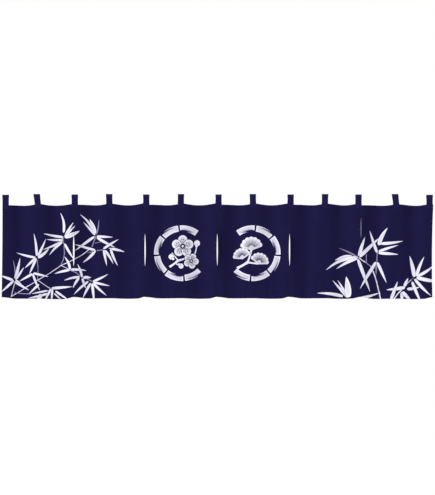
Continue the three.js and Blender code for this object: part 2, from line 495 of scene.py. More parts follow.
LEAVES = (
    # The left-hand bamboo, one knot after another
    Leaf(-958, 330, -969, 262, 6, -0.04, FAINT),
    Leaf(-958, 353, -934, 254, 15, -0.015),
    Leaf(-956, 356, -916, 298, 11.5, -0.015),
    Leaf(-968, 360, -1030, 336.5, 13),
    Leaf(-964, 361, -1026, 418, 12),
    Leaf(-956, 357, -925, 381, 9),
    Leaf(-961, 366, -892, 407.5, 12),
    Leaf(-876, 329, -938, 365, 11.5),
    Leaf(-873, 326, -800, 343.5, 11.5),
    Leaf(-875, 329, -841, 409.5, 11, -0.03),
    Leaf(-846, 379, -893, 424.5, 11),
    Leaf(-786, 398, -686, 390, 13.5),
    Leaf(-804, 409, -882, 424, 9),
    Leaf(-797, 422, -897, 445, 11, 0.01),
    Leaf(-836, 426, -857, 470, 19),
    Leaf(-789, 400, -820, 462, 11),
    Leaf(-782, 401, -786, 463, 11.5),
    Leaf(-773, 422, -740, 452, 7.5),
    Leaf(-767, 411, -707, 453, 11),
    Leaf(-856, 244.5, -870, 138, 12, -0.028),
    Leaf(-851, 246.5, -813, 163, 12, -0.015),
    Leaf(-850, 253.5, -796, 206.5, 14.5, -0.05),
    Leaf(-861, 252.5, -952, 229, 11, 0.025),
    Leaf(-862, 254, -912, 302, 11.5),
    Leaf(-858.5, 255, -891, 331, 12.5),
    Leaf(-728, 134, -743.5, 39.5, 12, -0.085),
    Leaf(-721.5, 150, -682, 84, 11.5, 0.01),
    Leaf(-718, 148, -673, 99.5, 9),
    Leaf(-724, 155, -653, 125.5, 21, -0.04),
    Leaf(-732, 155, -824, 138, 12, 0.025),
    Leaf(-733, 169, -810, 166, 10.5, 0.02),
    Leaf(-734, 176, -827, 215, 11.5, 0.02),
    Leaf(-735, 179, -796.5, 241, 12, -0.045),
    Leaf(-724, 186, -681, 261, 11.5, -0.02),
    Leaf(-698, 309, -725, 247, 12, -0.08),
    Leaf(-700, 311, -772, 329, 12, -0.025),
    Leaf(-695, 309, -620, 314, 12.5, 0.025),
    Leaf(-640.5, 346, -663, 283, 12, -0.035),
    Leaf(-652, 344, -726, 360.5, 11.5, -0.045),
    Leaf(-656, 348, -685, 396, 12, -0.03),
    Leaf(-636, 347.5, -598, 347.5, 14, 0.05),
    Leaf(-640, 351, -623, 398, 12, -0.02),
    Leaf(-590, 366, -518, 331, 11.5, -0.02),
    Leaf(-589, 369, -510, 387, 11.5),
    Leaf(-588, 374, -524.5, 433, 12, -0.02),
    Leaf(-593, 374, -583, 466, 13),
    Leaf(-600, 373, -638.5, 446, 12, -0.015),
    Leaf(-611, 365, -682, 429, 11.5, -0.03),
    Leaf(-585, 131, -651, 47.5, 12, -0.08),
    Leaf(-578.5, 146, -635.5, 83, 11, -0.008),
    Leaf(-579, 139, -604.5, 70, 19, -0.04),
    Leaf(-572, 144, -560.5, 70, 6, -0.03, FAINT),
    Leaf(-571, 152, -495, 155.5, 12),
    Leaf(-571, 157, -484, 204, 13, -0.02),
    Leaf(-582, 152.5, -677, 220.5, 13),
    Leaf(-578, 217, -677, 189, 12, 0.01),
    Leaf(-577, 218, -638, 276.5, 13.5, 0.052),
    Leaf(-583, 221, -617, 231, 6, 0, FAINT),
    Leaf(-540.5, 211, -467.5, 165, 12, 0.01),
    Leaf(-539, 216, -524, 291, 12),
    Leaf(-533.5, 217, -493, 282, 12, 0.03),
    Leaf(-506, 210, -439, 225.5, 13, 0.025),
    Leaf(-506, 212, -471.5, 291.5, 12.5, -0.032),
    Leaf(-502, 210, -515, 207.5, 6),
    # The right-hand bamboo
    Leaf(672, 246.5, 700.5, 155.5, 17, 0.015),
    Leaf(674, 250, 768, 158, 17.5),
    Leaf(668, 251, 573, 206.5, 8, -0.024, FAINT),
    Leaf(645, 252, 558, 265, 21, -0.085),
    Leaf(667, 251, 515, 312.5, 17, -0.1),
    Leaf(665, 255, 563.5, 306, 15, -0.04),
    Leaf(666.5, 259, 724, 414, 16.5),
    Leaf(764, 193, 807, 111, 19.5, 0.058),
    Leaf(773, 186.5, 881, 173.5, 14.5, -0.025),
    Leaf(757, 229.5, 722.5, 124.5, 14, 0.012),
    Leaf(763.5, 223, 858.5, 193.5, 12.5, 0.01),
    Leaf(763, 230, 859, 237.2, 14.5),
    Leaf(752, 272.5, 677, 400.5, 15.5, -0.006),
    Leaf(757.5, 274, 802, 372, 14, 0.002),
    Leaf(753.5, 284, 751.5, 337, 8, 0, FAINT),
    Leaf(596, 435.5, 473, 420.5, 15.5, -0.034),
    Leaf(616.5, 441, 546.5, 360, 13, -0.004),
    Leaf(617, 440, 570, 358, 12, -0.01),
    Leaf(620.5, 441, 611, 342, 31.5, -0.03),
    Leaf(676, 444.5, 767.5, 419.5, 12.5, -0.028),
    Leaf(934, 344, 911.5, 244, 18.8, -0.018),
    Leaf(943, 341, 981, 248, 15, 0.03),
    Leaf(946, 342, 1030, 287.5, 14.5, -0.045),
    Leaf(943.5, 347.5, 1070, 372, 17.5, -0.01),
    Leaf(934.5, 353.5, 1014.5, 434.5, 14.5, -0.025),
    Leaf(887, 389.5, 904.5, 348.5, 14.5),
    Leaf(890.5, 394, 801.5, 405.5, 16.5, 0.01),
    Leaf(900, 402, 958.5, 392.5, 15, -0.02),
    Leaf(824, 451, 855.5, 365, 15.5),
    Leaf(923, 366.5, 968.5, 470, 15, -0.018),
    Leaf(876, 415, 874.5, 470, 15.5),
    Leaf(877, 414.5, 920.5, 460, 17),
)


def heading(angle):
    """The direction of an angle, counted anticlockwise from the right, with D pointing down"""
    return np.array((math.cos(math.radians(angle)), -math.sin(math.radians(angle))))


def leaf_outline(x, d, to_x, to_d, width, bend=0, points=LEAF_POINTS):
    """A slim outline with a blunt foot, widest a quarter of the way along, and a fine tip"""
    foot = np.array((x, d), float)
    along = np.array((to_x - x, to_d - d))
    length = np.linalg.norm(along)
    to_left = np.array((along[1], -along[0])) / length
    share = (1 - np.cos(np.linspace(0, np.pi, points + 1))) / 2
    swell = share**LEAF_SWELL * (1 - share) ** LEAF_TAPER
    half = width / 2 * swell / swell.max()
    sway = bend * length * np.sin(np.pi * share)
    spine = foot + np.outer(share, along) + np.outer(sway, to_left)
    left = spine + np.outer(half, to_left)
    right = spine - np.outer(half, to_left)
    return np.concatenate((left, right[-2:0:-1]))


def ray_outline(x, d, angle, start, reach, width, points=5):
    """A slim leaf-like stroke that points away from a place"""
    away = heading(angle)
    foot = np.array((x, d)) + away * start
    tip = np.array((x, d)) + away * reach
    return leaf_outline(*foot, *tip, width, 0, points)


def leaf_shapes(leaf):
    """A leaf, and the brushed inside of a broad one"""
    x, d, to_x, to_d, width, bend, tone = leaf
    length = math.dist((x, d), (to_x, to_d))
    outline = leaf_outline(x, d, to_x, to_d, width - 2 * DYE_CREEP, bend)
    halo_x = (to_x - x) / length * HALO
    halo_d = (to_d - d) / length * HALO
    ends = (x - halo_x, d - halo_d, to_x + halo_x, to_d + halo_d)
    margin = leaf_outline(*ends, width + 2 * HALO, bend)
    shapes = [Shape(outline, margin, tone)]
    if width >= BROAD_LEAF:
        ends = [mix(a, b, share) for share in BRUSHED_PART for a, b in ((x, to_x), (d, to_d))]
        middle = leaf_outline(*ends, width * BRUSHED_WIDTH, bend)
        shapes.append(Shape(middle, middle, BRUSHED))
    return shapes


def twig_shape(twig):
    """A twig's outline, which covers what lies under it without a gap"""
    start = np.array((twig.x, twig.d), float)
    end = np.array((twig.to_x, twig.to_d), float)
    length = np.linalg.norm(end - start)
    along = (end - start) / length
    aside = np.array((-along[1], along[0]))
    share = np.linspace(0, 1, len(TWIG_SWELL))
    sway = np.outer(np.sin(np.pi * share) * length * TWIG_SWAY, aside)
    spine = start + np.outer(share, end - start) + sway
    swell = np.array(TWIG_SWELL) * twig.width / 2
    left = spine + np.outer(swell, aside)
    right = spine - np.outer(swell, aside)
    outline = np.concatenate((left, right[::-1]))
    return Shape(outline, outline, twig.tone)


# The rings, each in six lengths like jointed cane, open towards the middle of the curtain

# The joints are angles, and the gap is half of the dyed space at one. The rim is how far a
# length's brushed inside stays from its edges.
RING_X = 168
RING_D = 231.5
RING_OUTER = 132
RING_INNER = 103.5
RING_GAP = 4
RING_RIM = 5.5
RING_JOINTS = (53.5, 96.2, 139.4, 184.9, 229.9, 274.9, 315.5)
RING_ROWS = 14
STREAK_ROWS = 12

# Where the brush ran dry along a length of cane: the tone, and a band that swells on its way.
# Each row gives a share of the length, and the band's inner and outer radius there.
OUTER_STREAKS = (
    (FAINT, ((0.12, 125.5, 126.5), (0.4, 122.5, 128), (0.65, 122.8, 127.5), (0.85, 124.5, 126.5))),
    (DYED, (
        (0.3, 128, 128.4), (0.5, 127, 129.8), (0.72, 126.4, 131.2),
        (0.85, 126.2, 133), (1, 126.2, 134),
    )),
)
INNER_STREAKS = (
    (FAINT, ((0.1, 110, 111), (0.35, 107.5, 114), (0.65, 108, 114.5), (0.88, 108.5, 112))),
    (DYED, (
        (0.2, 106.5, 107), (0.45, 104.5, 108.5), (0.65, 102.5, 110.5),
        (0.85, 102.5, 110), (1, 102.5, 108.5),
    )),
)


def arc_band(centre, rows, mirror):
    """A band round a place, with its angle, inner and outer radius in each row

    Angles count anticlockwise, and are turned over for the right-hand ring.
    """
    rows = np.array(rows, float)
    turns = np.radians(rows[:, 0])
    away = np.stack((mirror * np.cos(turns), -np.sin(turns)), axis=1)
    inner = centre + away * rows[:, 1:2]
    outer = centre + away * rows[:, 2:3]
    return np.concatenate((outer, inner[::-1]))


def cane_length(centre, start, end, rim, mirror):
    """One length of cane, or its inside when the rim is not 0"""
    angles = np.linspace(start, end, RING_ROWS)
    rows = [(angle, RING_INNER + rim, RING_OUTER - rim) for angle in angles]
    return arc_band(centre, rows, mirror)


def ring_shapes(mirror):
    """Six lengths of cane, with dry-brush streaks on the inner and the outer edge by turns"""
    centre = np.array((-RING_X * mirror, RING_D))
    gap = math.degrees(RING_GAP / (RING_OUTER + RING_INNER) * 2)
    rim = math.degrees(RING_RIM / RING_OUTER)
    lengths = list(zip(RING_JOINTS, RING_JOINTS[1:]))
    shapes = []
    for number, (start, end) in enumerate(lengths):
        first = start + (gap if number > 0 else 0)
        last = end - (gap if number < len(lengths) - 1 else 0)
        outline = cane_length(centre, first, last, 0, mirror)
        middle = cane_length(centre, first + rim, last - rim, RING_RIM, mirror)
        shapes.append(Shape(outline, outline, WHITE))
        shapes.append(Shape(middle, middle, BRUSHED))
        for tone, rows in OUTER_STREAKS if number % 2 else INNER_STREAKS:
            rows = [(mix(start, end, share), low, high) for share, low, high in fine_rows(rows)]
            band = arc_band(centre, rows, mirror)
            shapes.append(Shape(band, band, tone))
    return shapes


def fine_rows(rows):
    """The rows of a streak with more rows between them, so that it follows its arc"""
    rows = np.array(rows, float)
    shares = np.linspace(rows[0, 0], rows[-1, 0], STREAK_ROWS)
    return np.stack([np.interp(shares, rows[:, 0], rows[:, column]) for column in range(3)], axis=1)


# The plain emblems inside the rings: a plum blossom spray on the left, pine boughs on the right

# Each has a place, and its twigs, blossoms, buds and clumps count from there. A row of the last
# three gives a place, a radius, and the angle that it is turned to.
EMBLEM_HALO = 2.4
PLUM_PLACE = (-RING_X + 8, RING_D - 5)
PLUM_TWIGS = (
    Twig(-66, 70, -26, 40, 10, WHITE),
    Twig(-26, 40, 30, 22, 9, WHITE),
    Twig(50, 20, 66, -44, 6, WHITE),
    Twig(-26, 40, -56, 4, 6, WHITE),
    Twig(-40, 50, -14, 70, 6, WHITE),
)
PLUM_BLOSSOMS = ((-4, -28, 52, 90), (36, 42, 36, 66))
PLUM_BUDS = ((64, -42, 14, 80), (-58, 22, 13, 130), (-12, 66, 12, 320))
PINE_PLACE = (RING_X - 8, RING_D - 3)
PINE_TWIGS = (
    Twig(-66, 74, -16, 46, 12, WHITE),
    Twig(-16, 46, 34, 52, 9, WHITE),
    Twig(-16, 46, 2, -14, 9, WHITE),
)
PINE_CLUMPS = ((-42, 22, 44, 106), (38, 46, 46, 72), (2, -22, 54, 92))

# A blossom: its petals and parts, as shares of its radius, and the angle of each stamen from its
# petal with its reach
PETALS = 5
PETAL_OUT = 0.58
PETAL = 0.42
PETAL_INSIDE = 0.28
STAMEN_WIDTH = 0.05
STAMENS = ((-24, 0.5), (-8, 0.62), (8, 0.62), (24, 0.5))
HEART = 0.2
HEART_MIDDLE = 0.1

# A bud's cup, as shares of the bud's radius and then of its own, and the gap round it
CUP_OUT = 0.9
CUP = 0.6
CUP_SQUASH = 0.7
CUP_HALO = 1.4

# A clump of pine: its lobes, the angle it spans, and its parts as shares of its radius
CLUMP_LOBES = 7
CLUMP_SPREAD = 168
CLUMP_POINTS = 43
CLUMP_SCALLOP = 0.08
CLUMP_FOOT = 0.22
CLUMP_INSIDE = 0.8
NEEDLE_START = 0.2
NEEDLE_REACH = (0.7, 0.9)
NEEDLE_WIDTH = 2.6


def disc(x, d, radius, tone=WHITE, margin=EMBLEM_HALO, count=28, squash=1.0, turn=0.0):
    """A round or squashed spot with a dyed gap round it"""
    angles = np.linspace(0, 2 * np.pi, count, endpoint=False)
    flat = np.stack((np.cos(angles), np.sin(angles) * squash), axis=1)
    cosine = math.cos(math.radians(turn))
    sine = math.sin(math.radians(turn))
    turned = flat @ np.array(((cosine, -sine), (sine, cosine)))
    centre = np.array((x, d))
    return Shape(centre + turned * radius, centre + turned * (radius + margin), tone)


def blossom(x, d, radius, turn):
    """Five round petals, a dyed heart, and fine stamens with round tips"""
    shapes = []
    angles = [turn + 360 / PETALS * step for step in range(PETALS)]
    for angle in angles:
        away = heading(angle) * radius * PETAL_OUT
        shapes.append(disc(x + away[0], d + away[1], radius * PETAL))
        shapes.append(disc(x + away[0], d + away[1], radius * PETAL_INSIDE, BRUSHED, 0))
    for angle in angles:
        for fan, reach in STAMENS:
            outline = ray_outline(x, d, angle + fan, 0, radius * reach, radius * STAMEN_WIDTH)
            shapes.append(Shape(outline, outline, DYED))
            tip = heading(angle + fan) * radius * reach
            shapes.append(disc(x + tip[0], d + tip[1], radius * STAMEN_WIDTH, DYED, 0, 10))
    shapes.append(disc(x, d, radius * HEART, DYED, 0))
    shapes.append(disc(x, d, radius * HEART_MIDDLE, margin=0))
    return shapes


def bud(x, d, radius, angle):
    """A round bud in a small cup"""
    cup = heading(angle) * radius * CUP_OUT
    return [
        disc(x, d, radius),
        disc(x - cup[0], d - cup[1], radius * CUP, squash=CUP_SQUASH, turn=angle, margin=CUP_HALO),
    ]


def pine_clump(x, d, radius, turn):
    """A fan of needles: a scalloped crown with dyed lines between the needles"""
    half = CLUMP_SPREAD / 2
    angles = np.radians(np.linspace(turn - half, turn + half, CLUMP_POINTS))
    lobes = np.abs(np.sin(np.linspace(0, np.pi * CLUMP_LOBES, CLUMP_POINTS)))
    reach = radius * (1 - CLUMP_SCALLOP + CLUMP_SCALLOP * lobes)
    rim = np.stack((np.cos(angles), -np.sin(angles)), axis=1) * reach[:, None]
    foot = heading(turn + 180) * radius * CLUMP_FOOT
    fan = np.concatenate((rim, foot[None]))
    centre = np.array((x, d))
    shapes = [
        Shape(centre + fan, centre + fan * (1 + EMBLEM_HALO / radius), WHITE),
        Shape(centre + fan * CLUMP_INSIDE, centre + fan * CLUMP_INSIDE, BRUSHED),
    ]
    for step in range(CLUMP_LOBES * 2 - 1):
        angle = turn - half + CLUMP_SPREAD * (step + 1) / (CLUMP_LOBES * 2)
        tip = radius * NEEDLE_REACH[step % 2]
        needle = ray_outline(x, d, angle, radius * NEEDLE_START, tip, NEEDLE_WIDTH)
        shapes.append(Shape(needle, needle, DYED))
    return shapes


def emblem(place, twigs, parts):
    """An emblem's twigs, and then its parts: pairs of a function and the rows that it draws"""
    x, d = place
    shapes = []
    for twig in twigs:
        moved = twig._replace(x=x + twig.x, d=d + twig.d, to_x=x + twig.to_x, to_d=d + twig.to_d)
        shapes.append(twig_shape(moved))
    for draw, rows in parts:
        for aside, down, radius, turn in rows:
            shapes += draw(x + aside, d + down, radius, turn)
    return shapes


def pattern():
    """Every shape of the print, from the lowest to the one on top"""
    shapes = [twig_shape(twig) for twig in TWIGS]
    for leaf in LEAVES:
        shapes += leaf_shapes(leaf)
    shapes += ring_shapes(1) + ring_shapes(-1)
    shapes += emblem(PLUM_PLACE, PLUM_TWIGS, ((blossom, PLUM_BLOSSOMS), (bud, PLUM_BUDS)))
    shapes += emblem(PINE_PLACE, PINE_TWIGS, ((pine_clump, PINE_CLUMPS),))
    return shapes


# Meshes

# A flat panel's mesh: the rounds that find a place on it, how near the grid comes to a line as a
# share of its spacing, how many points are compared at once, and how near two count as one
FLATTENING_ROUNDS = 4
GRID_CLEARANCE = 0.45
POINTS_AT_ONCE = 500
SAME_PLACE = 1e-5

# How far the rounded rim stands out past the faces
RIM_BULGE = 0.4


def on_flat_panel(panel, outline):
    """Where points of the pattern, as seen from the front, lie on the flat panel"""
    x = outline[:, 0]
    z = TOP_HEIGHT - outline[:, 1]
    along = x - panel_start(panel)
    drop = TOP_HEIGHT - z
    for _ in range(FLATTENING_ROUNDS):
        hung = drape(panel, along, drop)
        along = along + x - hung[:, 0]
        drop = drop + hung[:, 2] - z
    return np.stack((along, drop), axis=1)


def shapes_on(panel, shapes):
    """The shapes that reach a panel, moved onto its flat cloth"""
    start = panel_start(panel)
    found = []
    for shape in shapes:
        low, high = shape.margin[:, 0].min(), shape.margin[:, 0].max()
        if high < start or low > start + PANEL_WIDTH:
            continue
        outline = on_flat_panel(panel, shape.outline)
        same = shape.margin is shape.outline
        margin = outline if same else on_flat_panel(panel, shape.margin)
        found.append(Shape(outline, margin, shape.tone))
    return found


def inside(points, outline):
    """Which points lie inside a closed outline"""
    x, y = points[:, 0, None], points[:, 1, None]
    start = outline
    end = np.roll(outline, -1, axis=0)
    spans = (start[:, 1] > y) != (end[:, 1] > y)
    rise = np.where(end[:, 1] == start[:, 1], 1, end[:, 1] - start[:, 1])
    crossing = start[:, 0] + (y - start[:, 1]) * (end[:, 0] - start[:, 0]) / rise
    return (np.count_nonzero(spans & (x < crossing), axis=1) % 2).astype(bool)


def tones_at(points, shapes):
    """The tone at each point, with the last shape drawn on top"""
    tones = np.full(len(points), DYED)
    open_points = np.ones(len(points), bool)
    for shape in reversed(shapes):
        low = shape.margin.min(axis=0)
        high = shape.margin.max(axis=0)
        near = open_points & np.all((points >= low) & (points <= high), axis=1)
        near = np.nonzero(near)[0]
        if not len(near):
            continue
        within = inside(points[near], shape.outline)
        around = inside(points[near], shape.margin)
        tones[near[within]] = shape.tone
        open_points[near[within | around]] = False
    return tones


def lattice(panel_shapes, spacing):
    """Points and lines of a flat panel: its edge, its hem ledges, the pattern and a loose grid"""
    cloth = bpy.context.scene.curtain_cloth
    side = cloth.side_hem / MM
    top = cloth.top_fold / MM
    foot = DROP - cloth.foot_hem / MM
    half = HEM_LEDGE / 2
    other = PANEL_WIDTH - side
    columns = [0, side - half, side + half, other - half, other + half, PANEL_WIDTH]
    rows = [0, top - half, top + half, foot - half, foot + half, DROP]
    chains = []
    across = np.linspace(0, PANEL_WIDTH, round(PANEL_WIDTH / spacing) + 1)
    downward = np.linspace(0, DROP, round(DROP / spacing) + 1)
    for row in rows:
        chains.append((np.stack((across, np.full_like(across, row)), axis=1), False))
    for place in columns:
        chains.append((np.stack((np.full_like(downward, place), downward), axis=1), False))
    for shape in panel_shapes:
        chains.append((shape.outline, True))
        if shape.margin is not shape.outline:
            chains.append((shape.margin, True))
    points = []
    edges = []
    for chain, closed in chains:
        first = sum(len(part) for part in points)
        points.append(chain)
        count = len(chain)
        lines = count if closed else count - 1
        edges += [(first + i, first + (i + 1) % count) for i in range(lines)]
    grid = np.stack(np.meshgrid(across[1:-1], downward[1:-1]), axis=-1).reshape(-1, 2)
    taken = np.concatenate(points)
    clear = np.ones(len(grid), bool)
    for block in np.array_split(taken, max(1, len(taken) // POINTS_AT_ONCE)):
        distance = np.linalg.norm(grid[:, None] - block[None], axis=2).min(axis=1)
        clear &= distance > spacing * GRID_CLEARANCE
    points.append(grid[clear])
    return np.concatenate(points), edges


def flat_triangles(points, edges):
    """Triangles of a flat panel, anticlockwise as seen from its front"""
    flipped = [Vector((x, -d)) for x, d in points]
    result = delaunay_2d_cdt(flipped, edges, [], 0, SAME_PLACE)
    places = np.array([(v.x, -v.y) for v in result[0]])
    triangles = np.array(result[2])
    middle = places[triangles].mean(axis=1)
    on_cloth = (middle[:, 0] > 0) & (middle[:, 0] < PANEL_WIDTH)
    on_cloth &= (middle[:, 1] > 0) & (middle[:, 1] < DROP)
    triangles = triangles[on_cloth]
    used, triangles = np.unique(triangles, return_inverse=True)
    return places[used], triangles.reshape(-1, 3)


def rim_edges(triangles):
    """The directed edges that only one triangle has"""
    edges = np.concatenate((triangles[:, (0, 1)], triangles[:, (1, 2)], triangles[:, (2, 0)]))
    known = {(a, b) for a, b in edges.tolist()}
    return np.array([(a, b) for a, b in edges.tolist() if (b, a) not in known])


def rim_directions(places, rim):
    """The direction away from the cloth at each point of the rim, and 0 at the others"""
    outward = np.zeros((len(places), 3))
    for a, b in rim:
        edge = places[b] - places[a]
        away = np.array((-edge[1], 0, -edge[0])) / np.linalg.norm(edge)
        outward[a] += away
        outward[b] += away
    return unit(outward)


def panel_mesh(panel, shapes, spacing):
    """A closed sheet: front and back faces, and a rounded rim where the hems are folded"""
    flat_shapes = shapes_on(panel, shapes)
    places, triangles = flat_triangles(*lattice(flat_shapes, spacing))
    tones = tones_at(places[triangles].mean(axis=1), flat_shapes)
    rim = rim_edges(triangles)
    along, drop = places[:, 0], places[:, 1]
    count = len(places)
    front = skin(panel, along, drop, FRONT)
    back = skin(panel, along, drop, BACK)
    front_normals = skin_normals(panel, along, drop, FRONT)
    back_normals = skin_normals(panel, along, drop, BACK)

    outward = rim_directions(places, rim)
    on_rim = np.unique(rim)
    ridge = (front[on_rim] + back[on_rim]) / 2 + outward[on_rim] * RIM_BULGE
    ridge_index = np.full(count, -1)
    ridge_index[on_rim] = 2 * count + np.arange(len(on_rim))

    vertices = np.concatenate((front, back, ridge)) * MM
    a, b = rim[:, 0], rim[:, 1]
    ridge_a, ridge_b = ridge_index[a], ridge_index[b]
    quads = np.concatenate((
        np.stack((b, a, ridge_a, ridge_b), axis=1),
        np.stack((ridge_b, ridge_a, a + count, b + count), axis=1),
    ))
    faces = triangles.tolist() + (triangles[:, ::-1] + count).tolist() + quads.tolist()
    rim_tones = tones_beside(rim, triangles, tones)
    slots = np.concatenate((tones, tones, rim_tones, rim_tones))

    leaning_front = unit(front_normals + outward)
    leaning_back = unit(back_normals + outward)
    corner_normals = (
        front_normals[triangles],
        back_normals[triangles[:, ::-1]],
        np.stack((leaning_front[b], leaning_front[a], outward[a], outward[b]), axis=1),
        np.stack((outward[b], outward[a], leaning_back[a], leaning_back[b]), axis=1),
    )
    normals = np.concatenate([part.reshape(-1, 3) for part in corner_normals])
    flat = np.concatenate((places, places, places[on_rim]))
    flat = flat + np.array((panel_start(panel), 0))
    return vertices, faces, slots, normals, flat * MM


def unit(vectors):
    """Each vector at a length of 1, and any that has no length left as it is"""
    length = np.linalg.norm(vectors, axis=1, keepdims=True)
    return vectors / np.where(length == 0, 1, length)


def tones_beside(rim, triangles, tones):
    """The tone of the cloth beside each edge of the rim"""
    owner = {}
    for number, (a, b, c) in enumerate(triangles.tolist()):
        for edge in ((a, b), (b, c), (c, a)):
            owner[edge] = number
    return np.array([tones[owner[(a, b)]] for a, b in rim.tolist()])


def tube_faces(rings, around, first=0):
    """Faces from each ring of points to the next, and over the first ring and the last"""
    faces = []
    for ring in range(rings - 1):
        low = first + ring * around
        high = low + around
        for number in range(around):
            beside = (number + 1) % around
            faces.append((low + number, low + beside, high + beside, high + number))
    last = first + (rings - 1) * around
    faces.append(tuple(first + number for number in reversed(range(around))))
    faces.append(tuple(last + number for number in range(around)))
    return faces


def make_object(name, vertices, faces, materials, slots=None, normals=None, flat=None):
    """A mesh object with its materials, its own normals and a map of its flat cloth in metres"""
    mesh = bpy.data.meshes.new(name)
    mesh.from_pydata([tuple(v) for v in vertices], [], [tuple(f) for f in faces])
    for material in materials:
        mesh.materials.append(material)
    if slots is not None:
        mesh.polygons.foreach_set("material_index", np.asarray(slots, np.int32))
    corner = np.empty(len(mesh.loops), np.int32)
    mesh.loops.foreach_get("vertex_index", corner)
    if flat is not None:
        layer = mesh.uv_layers.new(name="Cloth")
        layer.data.foreach_set("uv", np.asarray(flat, np.float32)[corner].ravel())
    mesh.polygons.foreach_set("use_smooth", np.ones(len(mesh.polygons), bool))
    mesh.validate()
    if normals is not None:
        mesh.normals_split_custom_set([tuple(n) for n in normals])
    made = bpy.data.objects.new(name, mesh)
    bpy.context.scene.collection.objects.link(made)
    return made


# Thread

# Each ring of a stitch has its share of the stitch's length, of its rise and of its thickness.
THREAD_SIDES = 5
STITCH_RISE = 0.16
STITCH_RINGS = ((0, -0.3, 0.5), (0.22, 1, 1), (0.78, 1, 1), (1, -0.3, 0.5))
FORWARD = np.array((0.0, -1.0, 0.0))


class Stitches:
    """Short lengths of thread that rise out of the cloth and dip back into it"""

    def __init__(self, radius):
        self.radius = radius
        self.vertices = []
        self.faces = []
        self.flat = []

    def add(self, start, end, normal):
        """One stitch between two points on the cloth"""
        along = end - start
        length = np.linalg.norm(along)
        along = along / length
        aside = np.cross(normal, along)
        first = len(self.vertices)
        turns = np.linspace(0, 2 * np.pi, THREAD_SIDES, endpoint=False)
        for share, rise, swell in STITCH_RINGS:
            centre = start + along * length * share + normal * rise * STITCH_RISE
            for number, turn in enumerate(turns):
                away = aside * math.cos(turn) + normal * math.sin(turn)
                self.vertices.append((centre + away * self.radius * swell) * MM)
                self.flat.append((share * length * MM, number * MM))
        self.faces += tube_faces(len(STITCH_RINGS), THREAD_SIDES, first)

    def run(self, starts, ends, normals):
        """A row of stitches"""
        for start, end, normal in zip(starts, ends, normals):
            self.add(start, end, normal)

    def make(self, name, material):
        """All the stitches as one object"""
        return make_object(name, self.vertices, self.faces, [material], flat=self.flat)


def stitch_line(start, end):
    """The two ends of each stitch on a straight line, on the flat cloth"""
    cloth = bpy.context.scene.curtain_cloth
    start, end = np.array(start, float), np.array(end, float)
    length = np.linalg.norm(end - start)
    count = max(1, round(length / ((cloth.stitch + cloth.stitch_gap) / MM)))
    pitch = (end - start) / count
    taken = cloth.stitch / (cloth.stitch + cloth.stitch_gap)
    firsts = start + np.outer(np.arange(count) + (1 - taken) / 2, pitch)
    return firsts, firsts + pitch * taken


def sew_on_panel(stitches, panel, start, end):
    """A straight row of stitches on both faces of a panel"""
    firsts, lasts = stitch_line(start, end)
    for side in (FRONT, BACK):
        normals = skin_normals(panel, firsts[:, 0], firsts[:, 1], side)
        begin = skin(panel, firsts[:, 0], firsts[:, 1], side)
        finish = skin(panel, lasts[:, 0], lasts[:, 1], side)
        stitches.run(begin, finish, normals)


# Where the hems' stitches run, in from the hem's ledge, and where a row starts and ends
HEM_INSET = 1.6
HEM_ROW_END = 2

# The stitches over the sewn top of a slit: from where to where below the top edge, how far apart,
# how far in on each panel, how far down they slant, and the short bar of rows at their foot
SEAM_START = 2
SEAM_DEPTH = 30
SEAM_PITCH = 3.5
SEAM_REACH = 1.6
SEAM_SLANT = 1
BAR_REACH = 4.5
BAR_ROWS = (0, 0.7, 1.4)


def sew_hems(stitches, panel):
    """Rows of stitches along both sides, the top fold and the foot hem"""
    cloth = bpy.context.scene.curtain_cloth
    side = cloth.side_hem / MM - HEM_INSET
    top = cloth.top_fold / MM - HEM_INSET
    foot = DROP - cloth.foot_hem / MM + HEM_INSET
    for along in (side, PANEL_WIDTH - side):
        sew_on_panel(stitches, panel, (along, top), (along, foot))
    for drop in (top, foot):
        sew_on_panel(stitches, panel, (HEM_ROW_END, drop), (PANEL_WIDTH - HEM_ROW_END, drop))


def sew_seam(stitches, panel):
    """Small stitches across the lap where this panel joins the next, and a bar at their foot"""
    heights = np.arange(SEAM_START, SEAM_DEPTH, SEAM_PITCH)
    edge = np.full_like(heights, PANEL_WIDTH - SEAM_REACH)
    near = skin(panel, edge, heights, FRONT)
    far = skin(panel + 1, np.full_like(heights, SEAM_REACH), heights + SEAM_SLANT, FRONT)
    normals = skin_normals(panel, edge, heights, FRONT)
    stitches.run(near, far, normals)
    for lower in BAR_ROWS:
        begin = skin(panel, [PANEL_WIDTH - BAR_REACH], [SEAM_DEPTH + lower], FRONT)
        finish = skin(panel + 1, [BAR_REACH], [SEAM_DEPTH + lower], FRONT)
        stitches.run(begin, finish, [FORWARD])


# Loops


def foot_of(index):
    """The height at which a loop's legs meet: the higher of the two edges beside the loop"""
    before = EDGES[index - 1].end if index else EDGES[0].start
    after = EDGES[index].start if index < len(EDGES) else before
    return max(before, after)


def is_over_slit(index):
    """Whether a loop stands where two panels meet"""
    return index % 2 == 0 and 0 < index < len(LOOPS) - 1


class LoopPath(NamedTuple):
    """The middle line of a loop's strip in side view, with its outward direction at each point"""

    points: np.ndarray
    outward: np.ndarray
    length: float


# A loop's path: the room between its tails, how far above its foot the legs meet, the points that
# a tail passes below that foot and below its bend, and the count on the head and in all
TAIL_SPACE = 0.1
LEGS_MEET = 2
BELOW_FOOT = 6
BELOW_BEND = 2
HEAD_POINTS = 25
PATH_POINTS = 54


